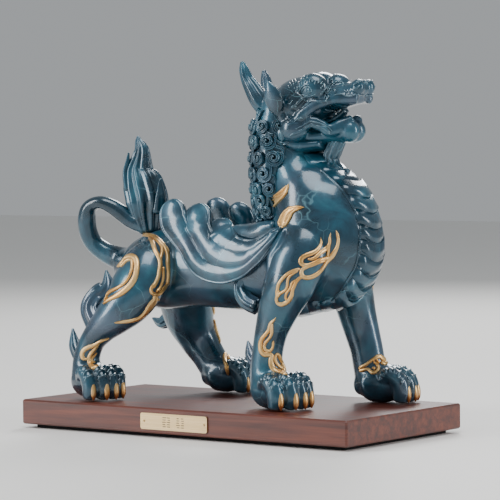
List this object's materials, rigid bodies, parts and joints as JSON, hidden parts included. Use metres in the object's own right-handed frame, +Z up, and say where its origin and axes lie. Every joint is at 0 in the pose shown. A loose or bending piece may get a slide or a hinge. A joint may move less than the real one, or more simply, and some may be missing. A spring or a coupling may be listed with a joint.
{
  "type": "pixiu statue",
  "caption": "Striding winged pixiu in cast metal, head raised, with a curled mane, feathered wings and a looped flame tail, on a flat wooden plinth with a small metal name plate.",
  "frame": {"origin": "centre of the plinth's footprint, on the surface it stands on", "axes": "+X along the plinth towards the beast's head, +Y across it away from the name plate, +Z up"},
  "size_m": [0.4, 0.2025, 0.3682],
  "materials": {
    "patinated_casting": "teal-blue patina with paler veins under a glossy clear lacquer",
    "gilding": "satin gilding on the raised flames and the claws",
    "plinth_wood": "red-brown hardwood, satin lacquer",
    "pad_felt": "black felt",
    "plate_brass": "pale gold, satin brushed"
  },
  "bodies": {
    "root": {"pixiu": "patinated_casting", "plinth": "plinth_wood", "plinth_pad": "pad_felt", "name_plate": "plate_brass", "plate_pin_left": "plate_brass", "plate_pin_right": "plate_brass"}
  },
  "joints": []
}
